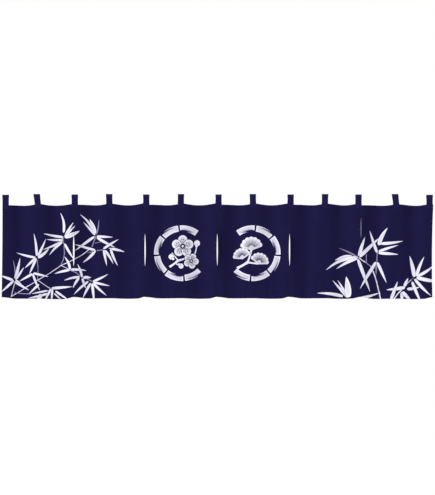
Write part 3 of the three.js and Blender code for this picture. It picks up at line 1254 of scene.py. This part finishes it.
def loop_path(loop, foot):
    """Up the front tail and leg, over the head, and down the back to the other tail"""
    radius = LOOP_RADIUS - LOOP_PLY / 2
    centre = loop.head - LOOP_RADIUS
    tail_half = (LOOP_PLY + TAIL_SPACE) / 2
    apex = foot + LEGS_MEET - centre
    slope = math.asin(radius / -apex)
    turn = np.linspace(math.pi + slope, -slope, HEAD_POINTS)
    head = np.stack((radius * np.cos(turn), centre + radius * np.sin(turn)), axis=1)
    bend = foot + LEGS_MEET + tail_half / math.tan(slope)
    heights = (foot - TAIL_LENGTH, foot - BELOW_FOOT, bend - BELOW_BEND)
    tail = np.array([(-tail_half, height) for height in heights])
    front = np.concatenate((tail, head[: HEAD_POINTS // 2 + 1]))
    corners = np.concatenate((front, front[-2::-1] * np.array((-1, 1))))
    steps = np.linalg.norm(np.diff(corners, axis=0), axis=1)
    passed = np.concatenate(((0,), np.cumsum(steps)))
    places = np.linspace(0, passed[-1], PATH_POINTS)
    points = np.stack([np.interp(places, passed, corners[:, i]) for i in (0, 1)], axis=1)
    along = np.gradient(points, axis=0)
    along /= np.linalg.norm(along, axis=1, keepdims=True)
    return LoopPath(points, np.stack((-along[:, 1], along[:, 0]), axis=1), passed[-1])


def place_on_loop(loop, index, side, depth, height):
    """Where a point of a loop's flat strip and side view lies on the hanging loop"""
    tail = TUCKED_TAIL_SHIFT if is_over_slit(index) else 0
    foot = foot_of(index)
    up = clamp_share((height - foot) / (loop.head - foot))
    waist = 1 - LOOP_WAIST * np.sin(np.pi * up)
    shift = tail * (1 - np.clip(up / STRAIGHT_BY, 0, 1))
    return np.stack((loop.at + side * waist + loop.lean * up, depth + shift, height), axis=-1)


# The strip's cross-section: places across it as shares of its half width, and its thickness
# there as a share of the ply. The folded edges are a little thicker than the middle.
STRIP_ACROSS = (-1, -0.975, -0.9, -0.82, -0.4, 0, 0.4, 0.82, 0.9, 0.975, 1)
STRIP_THICK = (0.35, 0.9, 1.05, 0.92, 0.86, 0.84, 0.86, 0.92, 1.05, 0.9, 0.35)


def loop_mesh(loop, index):
    """A closed strip along the loop's path, with its flat map and its length"""
    path = loop_path(loop, foot_of(index))
    across = np.array(STRIP_ACROSS) * LOOP_WIDTH / 2
    thick = np.array(STRIP_THICK) * LOOP_PLY / 2
    ring_across = np.concatenate((across, across[::-1]))
    ring_thick = np.concatenate((thick, -thick[::-1]))
    rows = []
    flat = []
    for number, (point, outward) in enumerate(zip(path.points, path.outward)):
        depth = point[0] + outward[0] * ring_thick
        height = point[1] + outward[1] * ring_thick
        rows.append(place_on_loop(loop, index, ring_across, depth, height))
        passed = path.length * number / (PATH_POINTS - 1)
        flat.append(np.stack((ring_across, np.full_like(ring_across, passed)), axis=1))
    faces = tube_faces(PATH_POINTS, len(ring_across))
    return np.concatenate(rows) * MM, faces, np.concatenate(flat) * MM, path.length


# The stitches along a loop's edges: in from the edge, in from the strip's ends, and their height
# over its middle as a share of the ply
EDGE_INSET = 2.4
EDGE_ROW_END = 1
EDGE_RISE = 0.46


def sew_loop_edges(stitches, loop, index):
    """Two rows of stitches along the strip, on its outer face"""
    path = loop_path(loop, foot_of(index))
    places = np.linspace(0, path.length, PATH_POINTS)
    columns = (*path.points.T, *path.outward.T)
    firsts, lasts = stitch_line((0, EDGE_ROW_END), (0, path.length - EDGE_ROW_END))
    rise = LOOP_PLY * EDGE_RISE
    for side in (-1, 1):
        aside = side * (LOOP_WIDTH / 2 - EDGE_INSET)
        ends = []
        for spots in (firsts[:, 1], lasts[:, 1]):
            depth, height, back, up = (np.interp(spots, places, column) for column in columns)
            asides = np.full_like(spots, aside)
            ends.append(place_on_loop(loop, index, asides, depth + back * rise, height + up * rise))
        normals = np.stack((np.zeros_like(back), back, up), axis=1)
        stitches.run(ends[0], ends[1], unit(normals))


# The crossed box of stitches on the panel's front: half its width, where it starts and ends below
# the top edge, and its lines, with both ends given as (side, 0 at the top or 1 at the foot)
BOX_HALF = 9.5
BOX_TOP = 3.5
BOX_FOOT = 15
BOX_LINES = (
    ((-1, 0), (1, 0)),
    ((-1, 1), (1, 1)),
    ((-1, 0), (-1, 1)),
    ((1, 0), (1, 1)),
    ((-1, 0), (1, 1)),
    ((-1, 1), (1, 0)),
)


def sew_loop_box(stitches, loop):
    """The crossed box of stitches that holds a loop's tails behind the top edge"""
    for first, last in BOX_LINES:
        start = (loop.at + first[0] * BOX_HALF, mix(BOX_TOP, BOX_FOOT, first[1]))
        end = (loop.at + last[0] * BOX_HALF, mix(BOX_TOP, BOX_FOOT, last[1]))
        firsts, lasts = stitch_line(start, end)
        for begin, finish in zip(firsts, lasts):
            middle = (begin[0] + finish[0]) / 2
            panel = math.floor(middle / PANEL_WIDTH) + PANEL_COUNT // 2
            panel = min(max(panel, 0), PANEL_COUNT - 1)
            ends = [
                skin(panel, np.clip(point[0] - panel_start(panel), 0, PANEL_WIDTH), point[1], FRONT)
                for point in (begin, finish)
            ]
            stitches.add(ends[0], ends[1], FORWARD)


# Materials

# The sizes of the yarn's slubs, patches of dye, the weave's depth, the thread's twist and its
# depth, and clouds of paint
SLUB_LENGTH = 20
SLUB_WIDTH = 10 / 7
DYE_PATCH = 1000 / 11
WEAVE_DEPTH = 0.4
TWIST_LENGTH = 2 * math.pi / 9
TWIST_DEPTH = 0.1
PAINT_CLOUD = 500


def linear(code):
    """A colour's sRGB hex code as linear red, green and blue"""
    parts = [int(code[i : i + 2], 16) / 255 for i in (1, 3, 5)]
    return tuple(c / 12.92 if c <= 0.04045 else ((c + 0.055) / 1.055) ** 2.4 for c in parts)


def scale_for(size):
    """A pattern's scale at which its features are so many millimetres long"""
    return 1 / (size * MM)


def add_node(tree, kind, inputs=None, **settings):
    """Adds a node. An input that is a socket is linked, and any other is a value."""
    node = tree.nodes.new(kind)
    for name, value in settings.items():
        setattr(node, name, value)
    for name, value in (inputs or {}).items():
        if isinstance(value, bpy.types.NodeSocket):
            tree.links.new(value, node.inputs[name])
        else:
            node.inputs[name].default_value = value
    return node


def new_material(name):
    """A material with an empty node tree"""
    material = bpy.data.materials.new(name)
    material.use_nodes = True
    material.node_tree.nodes.clear()
    return material, material.node_tree


def finish_material(tree, inputs):
    """Adds the surface and the output"""
    shader = add_node(tree, "ShaderNodeBsdfPrincipled", inputs)
    add_node(tree, "ShaderNodeOutputMaterial", {"Surface": shader.outputs[0]})


def crossing_threads(tree, cloth):
    """Waves along and across the cloth, which show where a thread passes over another"""
    turns = math.pi / bpy.context.scene.curtain_cloth.thread_spacing
    split = add_node(tree, "ShaderNodeSeparateXYZ", {0: cloth})
    waves = []
    for axis in (0, 1):
        turned = add_node(
            tree, "ShaderNodeMath", {0: split.outputs[axis], 1: turns}, operation="MULTIPLY"
        )
        wave = add_node(tree, "ShaderNodeMath", {0: turned.outputs[0]}, operation="SINE")
        waves.append(wave.outputs[0])
    crossed = add_node(tree, "ShaderNodeMath", {0: waves[0], 1: waves[1]}, operation="MULTIPLY")
    return crossed.outputs[0]


def slubby_yarn(tree, cloth):
    """Long thin patches along both ways of the cloth, where the yarn is thicker"""
    length, width = scale_for(SLUB_LENGTH), scale_for(SLUB_WIDTH)
    slubs = []
    for stretch in ((length, width, 1), (width, length, 1)):
        stretched = add_node(tree, "ShaderNodeVectorMath", {0: cloth, 1: stretch}, operation="MULTIPLY")
        noise = add_node(
            tree, "ShaderNodeTexNoise",
            {"Vector": stretched.outputs[0], "Scale": 1.0, "Detail": 2.0, "Roughness": 0.6},
            noise_dimensions="2D",
        )
        slubs.append(noise.outputs[0])
    return add_node(tree, "ShaderNodeMath", {0: slubs[0], 1: slubs[1]}, operation="ADD").outputs[0]


def woven_cotton(name, colour, slub, mottle):
    """Plain-weave cotton: round threads over and under each other, with thick slubs in the yarn.

    The eye gets a dull, soft surface with fine lines both ways. Real threads lie about half a
    millimetre apart. They are drawn at the thread spacing of the settings, about twice that, so
    that they show in a close view. A Map Range node's inputs 1 and 2 are the range that comes in,
    and 3 and 4 the range that goes out.
    """
    material, tree = new_material(name)
    cloth = add_node(tree, "ShaderNodeUVMap", uv_map="Cloth").outputs[0]
    crossing = crossing_threads(tree, cloth)
    yarn = slubby_yarn(tree, cloth)
    dye = add_node(
        tree, "ShaderNodeTexNoise",
        {"Vector": cloth, "Scale": scale_for(DYE_PATCH), "Detail": 3.0, "Roughness": 0.55},
        noise_dimensions="2D",
    ).outputs[0]

    yarn_share = add_node(
        tree, "ShaderNodeMapRange", {0: yarn, 1: 0.7, 2: 1.3, 3: 1 - slub, 4: 1 + slub}
    ).outputs[0]
    dye_share = add_node(
        tree, "ShaderNodeMapRange", {0: dye, 1: 0.3, 2: 0.7, 3: 1 - mottle, 4: 1 + mottle}
    ).outputs[0]
    # Painted shade: the colour turns lighter where one way's thread lies on top and darker where the
    # other's does, as light on the weave's relief would show it. The slubs and dye patches multiplied
    # in next are the cloth's own uneven tone.
    shade = add_node(
        tree, "ShaderNodeMapRange", {0: crossing, 1: -1.0, 2: 1.0, 3: 0.94, 4: 1.06}
    ).outputs[0]
    for share in (yarn_share, dye_share):
        shade = add_node(tree, "ShaderNodeMath", {0: shade, 1: share}, operation="MULTIPLY").outputs[0]
    tinted = add_node(
        tree, "ShaderNodeVectorMath", {0: tuple(colour), "Scale": shade}, operation="SCALE"
    )
    height = add_node(tree, "ShaderNodeMath", {0: crossing}, operation="ABSOLUTE").outputs[0]
    height = add_node(
        tree, "ShaderNodeMath", {0: yarn, 1: 0.5, 2: height}, operation="MULTIPLY_ADD"
    ).outputs[0]
    relief = add_node(
        tree, "ShaderNodeBump", {"Height": height, "Strength": 0.35, "Distance": WEAVE_DEPTH * MM}
    )
    roughness = add_node(tree, "ShaderNodeMapRange", {0: yarn, 1: 0.7, 2: 1.3, 3: 0.82, 4: 0.96})
    finish_material(tree, {
        "Base Color": tinted.outputs[0],
        "Roughness": roughness.outputs[0],
        "Normal": relief.outputs[0],
        "Sheen Weight": 0.02,
        "Sheen Roughness": 0.5,
        "Specular IOR Level": 0.1,
    })
    return material


def sewing_thread(name, colour):
    """Spun thread of two twisted plies: slanting highlights a shade lighter than the cloth"""
    material, tree = new_material(name)
    cloth = add_node(tree, "ShaderNodeUVMap", uv_map="Cloth").outputs[0]
    # The phase of a wave of scale 1 grows by ten radians to a metre.
    scale = scale_for(TWIST_LENGTH) * 2 * math.pi / 10
    twist = add_node(
        tree, "ShaderNodeTexWave", {"Vector": cloth, "Scale": scale, "Distortion": 0.4},
        wave_type="BANDS", bands_direction="DIAGONAL",
    ).outputs[1]
    shade = add_node(tree, "ShaderNodeMapRange", {0: twist, 3: 0.8, 4: 1.2}).outputs[0]
    tinted = add_node(
        tree, "ShaderNodeVectorMath", {0: tuple(colour), "Scale": shade}, operation="SCALE"
    )
    relief = add_node(
        tree, "ShaderNodeBump", {"Height": twist, "Strength": 0.5, "Distance": TWIST_DEPTH * MM}
    )
    finish_material(tree, {
        "Base Color": tinted.outputs[0],
        "Roughness": 0.6,
        "Normal": relief.outputs[0],
        "Specular IOR Level": 0.4,
    })
    return material


def painted_floor(name, colour):
    """Pale floor paint on a smooth screed: even, dull, with a faint cloudiness"""
    material, tree = new_material(name)
    place = add_node(tree, "ShaderNodeTexCoord").outputs["Object"]
    cloud = add_node(
        tree, "ShaderNodeTexNoise", {"Vector": place, "Scale": scale_for(PAINT_CLOUD), "Detail": 3.0}
    )
    shade = add_node(tree, "ShaderNodeMapRange", {0: cloud.outputs[0], 3: 0.97, 4: 1.03}).outputs[0]
    tinted = add_node(
        tree, "ShaderNodeVectorMath", {0: tuple(colour), "Scale": shade}, operation="SCALE"
    )
    finish_material(tree, {"Base Color": tinted.outputs[0], "Roughness": 0.7})
    return material


# Settings


class CurtainClothSettings(bpy.types.PropertyGroup):
    """Sizes of the cloth, its hems and its thread"""

    ply: FloatProperty(
        name="Ply", description="Thickness of one layer of the cotton",
        default=0.7 * MM, min=0.0001, unit="LENGTH", precision=4,
    )
    side_hem: FloatProperty(
        name="Side Hem", description="Width of the hem down each side of a panel",
        default=8 * MM, min=0.002, unit="LENGTH", precision=4,
    )
    top_fold: FloatProperty(
        name="Top Fold", description="Depth of the fold that the loops are sewn to",
        default=25 * MM, min=0.005, unit="LENGTH", precision=4,
    )
    foot_hem: FloatProperty(
        name="Foot Hem", description="Depth of the hem along the foot",
        default=18 * MM, min=0.005, unit="LENGTH", precision=4,
    )
    stitch: FloatProperty(
        name="Stitch", description="Length of one stitch on the surface",
        default=2.7 * MM, min=0.001, unit="LENGTH", precision=4,
    )
    stitch_gap: FloatProperty(
        name="Stitch Gap", description="Space between one stitch and the next",
        default=0.7 * MM, min=0.0002, unit="LENGTH", precision=4,
    )
    thread: FloatProperty(
        name="Thread", description="Thickness of the sewing thread",
        default=0.5 * MM, min=0.0001, unit="LENGTH", precision=4,
    )
    thread_spacing: FloatProperty(
        name="Thread Spacing", description="Space between the drawn threads of the weave",
        default=1.1 * MM, min=0.0002, unit="LENGTH", precision=4,
    )
    mesh_spacing: FloatProperty(
        name="Mesh Spacing", description="Space between the points of a panel's mesh",
        default=7 * MM, min=0.002, unit="LENGTH", precision=4,
    )


class CurtainColourSettings(bpy.types.PropertyGroup):
    """Colours of the cloth, its thread and the floor"""

    dyed: FloatVectorProperty(
        name="Dyed", description="The navy of the dyed cloth",
        default=linear("#16123D"), min=0, max=1, subtype="COLOR",
    )
    undyed: FloatVectorProperty(
        name="Undyed", description="The pattern, where the paste kept the dye off",
        default=linear("#EAE9F9"), min=0, max=1, subtype="COLOR",
    )
    brushed: FloatVectorProperty(
        name="Brushed", description="The insides of canes, petals and broad leaves, where dye crept in",
        default=linear("#D2D1DD"), min=0, max=1, subtype="COLOR",
    )
    faint: FloatVectorProperty(
        name="Faint", description="Thin twigs and dry-brush streaks, where the paste lay thinly",
        default=linear("#8E8BAB"), min=0, max=1, subtype="COLOR",
    )
    loop: FloatVectorProperty(
        name="Loops", description="The navy of the loops",
        default=linear("#1B1745"), min=0, max=1, subtype="COLOR",
    )
    hem_thread: FloatVectorProperty(
        name="Hem Thread", description="The thread of the hems and seams",
        default=linear("#1E1A4A"), min=0, max=1, subtype="COLOR",
    )
    loop_thread: FloatVectorProperty(
        name="Loop Thread", description="The brighter thread that holds the loops",
        default=linear("#34308A"), min=0, max=1, subtype="COLOR",
    )
    floor: FloatVectorProperty(
        name="Floor", description="The pale floor under the curtain",
        default=linear("#E9E8E6"), min=0, max=1, subtype="COLOR",
    )


class CurtainStageSettings(bpy.types.PropertyGroup):
    """The floor, the lights and the camera's distance"""

    floor_height: FloatProperty(
        name="Floor", description="Height of the floor against the rod's line",
        default=-1.9, unit="LENGTH",
    )
    camera_distance: FloatProperty(
        name="Camera Distance", description="Distance from the camera to the cloth",
        default=8.0, min=1, unit="LENGTH",
    )
    sky: FloatProperty(
        name="Sky", description="Strength of the even light from all round",
        default=0.62, min=0, subtype="UNSIGNED",
    )
    key: FloatProperty(
        name="Key", description="Strength of the soft light from the right",
        default=2.7, min=0, subtype="UNSIGNED",
    )


# Operators


class CURTAIN_OT_panels(bpy.types.Operator):
    """Cut, dye, hem and hang the six panels"""

    bl_idname = "curtain.panels"
    bl_label = "Hang the Panels"

    def execute(self, context):
        colours = context.scene.curtain_colours
        spacing = context.scene.curtain_cloth.mesh_spacing / MM
        tones = [
            woven_cotton("dyed_cotton_navy", colours.dyed, slub=0.09, mottle=0.05),
            woven_cotton("undyed_cotton_white", colours.undyed, slub=0.03, mottle=0.02),
            woven_cotton("undyed_cotton_brushed", colours.brushed, slub=0.06, mottle=0.09),
            woven_cotton("undyed_cotton_faint", colours.faint, slub=0.12, mottle=0.15),
        ]
        thread = sewing_thread("spun_thread_navy", colours.hem_thread)
        shapes = pattern()
        for panel in range(PANEL_COUNT):
            vertices, faces, slots, normals, flat = panel_mesh(panel, shapes, spacing)
            name = f"cotton_panel_{panel + 1}"
            made = make_object(name, vertices, faces, tones, slots, normals, flat)
            stitches = Stitches(context.scene.curtain_cloth.thread / MM / 2)
            sew_hems(stitches, panel)
            if panel < PANEL_COUNT - 1:
                sew_seam(stitches, panel)
            sewn = stitches.make(f"panel_{panel + 1}_thread", thread)
            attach(made, "root")
            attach(sewn, "root")
            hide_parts(f"panel_{panel + 1}")
        return {"FINISHED"}


class CURTAIN_OT_loops(bpy.types.Operator):
    """Fold and sew the thirteen hanging loops"""

    bl_idname = "curtain.loops"
    bl_label = "Sew the Loops"

    def execute(self, context):
        colours = context.scene.curtain_colours
        cotton = woven_cotton("folded_cotton_strip", colours.loop, slub=0.09, mottle=0.04)
        thread = sewing_thread("spun_thread_indigo", colours.loop_thread)
        for index, loop in enumerate(LOOPS):
            number = f"{index + 1:02d}"
            vertices, faces, flat, length = loop_mesh(loop, index)
            made = make_object(f"hanging_loop_{number}", vertices, faces, [cotton], flat=flat)
            stitches = Stitches(context.scene.curtain_cloth.thread / MM / 2)
            sew_loop_edges(stitches, loop, index)
            sew_loop_box(stitches, loop)
            sewn = stitches.make(f"loop_{number}_thread", thread)
            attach(made, "root")
            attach(sewn, "root")
            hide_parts(f"loop_{number}")
        return {"FINISHED"}


# The camera: the width of the picture at the cloth and how far it sees, in metres, its sensor, and
# the middle of the picture. The width is that of the photo's 435 pixels of 4.744 mm.
FRAME_WIDTH = 2.0636
CLIP_END = 50
SENSOR = 36
CAMERA_X = 1
CAMERA_HEIGHT = -240.5

# The key light's direction and the angle that it fills
KEY_AZIMUTH = 58
KEY_ELEVATION = 24
KEY_SPREAD = 30

# The floor plate's rings from its foot up, in metres: radius, and height against the floor
FLOOR_RINGS = ((2, -0.03), (2, -0.008), (1.994, -0.002), (1.98, 0))
FLOOR_SIDES = 96


def pale_floor(height, material):
    """A round floor plate with a softened edge"""
    turns = np.linspace(0, 2 * np.pi, FLOOR_SIDES, endpoint=False)
    circle = np.stack((np.cos(turns), np.sin(turns)), axis=1)
    vertices = [(x * reach, y * reach, height + rise) for reach, rise in FLOOR_RINGS for x, y in circle]
    faces = tube_faces(len(FLOOR_RINGS), FLOOR_SIDES)
    return make_object("pale_floor", vertices, faces, [material])


def studio_world(strength):
    """Even light from all round, seen by the camera as plain white"""
    world = bpy.data.worlds.new("white_studio")
    world.use_nodes = True
    tree = world.node_tree
    tree.nodes.clear()
    seen = add_node(tree, "ShaderNodeBackground", {"Color": (1, 1, 1, 1), "Strength": 1.0})
    lit = add_node(tree, "ShaderNodeBackground", {"Color": (1, 1, 1, 1), "Strength": strength})
    ray = add_node(tree, "ShaderNodeLightPath").outputs["Is Camera Ray"]
    mixed = add_node(tree, "ShaderNodeMixShader", {0: ray, 1: lit.outputs[0], 2: seen.outputs[0]})
    add_node(tree, "ShaderNodeOutputWorld", {"Surface": mixed.outputs[0]})
    bpy.context.scene.world = world


def soft_sun(name, strength, azimuth, elevation, spread):
    """A broad light from far off: azimuth is turned from the front towards the right"""
    lamp = bpy.data.lights.new(name, "SUN")
    lamp.energy = strength
    lamp.angle = math.radians(spread)
    made = bpy.data.objects.new(name, lamp)
    turned, raised = math.radians(azimuth), math.radians(elevation)
    towards = Vector((
        math.sin(turned) * math.cos(raised), -math.cos(turned) * math.cos(raised), math.sin(raised)
    ))
    made.rotation_euler = towards.to_track_quat("Z", "Y").to_euler()
    bpy.context.scene.collection.objects.link(made)


class CURTAIN_OT_stage(bpy.types.Operator):
    """Set the floor, the lights and the camera"""

    bl_idname = "curtain.stage"
    bl_label = "Set the Stage"

    def execute(self, context):
        scene = context.scene
        stage = scene.curtain_stage
        floor_paint = painted_floor("pale_floor_paint", scene.curtain_colours.floor)
        pale_floor(stage.floor_height, floor_paint)
        studio_world(stage.sky)
        soft_sun("soft_key", stage.key, KEY_AZIMUTH, KEY_ELEVATION, KEY_SPREAD)
        scene.view_settings.view_transform = "Standard"
        lens = bpy.data.cameras.new("front_camera")
        lens.sensor_fit = "HORIZONTAL"
        lens.sensor_width = SENSOR
        lens.lens = SENSOR * stage.camera_distance / FRAME_WIDTH
        lens.clip_end = CLIP_END
        camera = bpy.data.objects.new("front_camera", lens)
        camera.location = (CAMERA_X * MM, -stage.camera_distance, CAMERA_HEIGHT * MM)
        camera.rotation_euler = (math.pi / 2, 0, 0)
        scene.collection.objects.link(camera)
        scene.camera = camera
        return {"FINISHED"}


class CURTAIN_PT_sidebar(bpy.types.Panel):
    """The curtain's settings and operators"""

    bl_idname = "CURTAIN_PT_sidebar"
    bl_label = "Slit Shop Curtain"
    bl_space_type = "VIEW_3D"
    bl_region_type = "UI"
    bl_category = "Curtain"

    def draw(self, context):
        layout = self.layout
        for group in (
            context.scene.curtain_cloth,
            context.scene.curtain_colours,
            context.scene.curtain_stage,
        ):
            box = layout.box()
            for name in group.__annotations__:
                box.prop(group, name)
        for operator in OPERATORS:
            layout.operator(operator.bl_idname)


OPERATORS = (CURTAIN_OT_stage, CURTAIN_OT_panels, CURTAIN_OT_loops)
SETTINGS = {
    "curtain_cloth": CurtainClothSettings,
    "curtain_colours": CurtainColourSettings,
    "curtain_stage": CurtainStageSettings,
}


def register():
    for cls in (*SETTINGS.values(), *OPERATORS, CURTAIN_PT_sidebar):
        bpy.utils.register_class(cls)
    for name, group in SETTINGS.items():
        setattr(bpy.types.Scene, name, PointerProperty(type=group))


def unregister():
    for name in SETTINGS:
        delattr(bpy.types.Scene, name)
    for cls in (CURTAIN_PT_sidebar, *reversed(OPERATORS), *reversed(SETTINGS.values())):
        bpy.utils.unregister_class(cls)


def main():
    register()
    bpy.ops.curtain.stage()
    bpy.ops.curtain.panels()
    bpy.ops.curtain.loops()


if __name__ == "__main__":
    main()
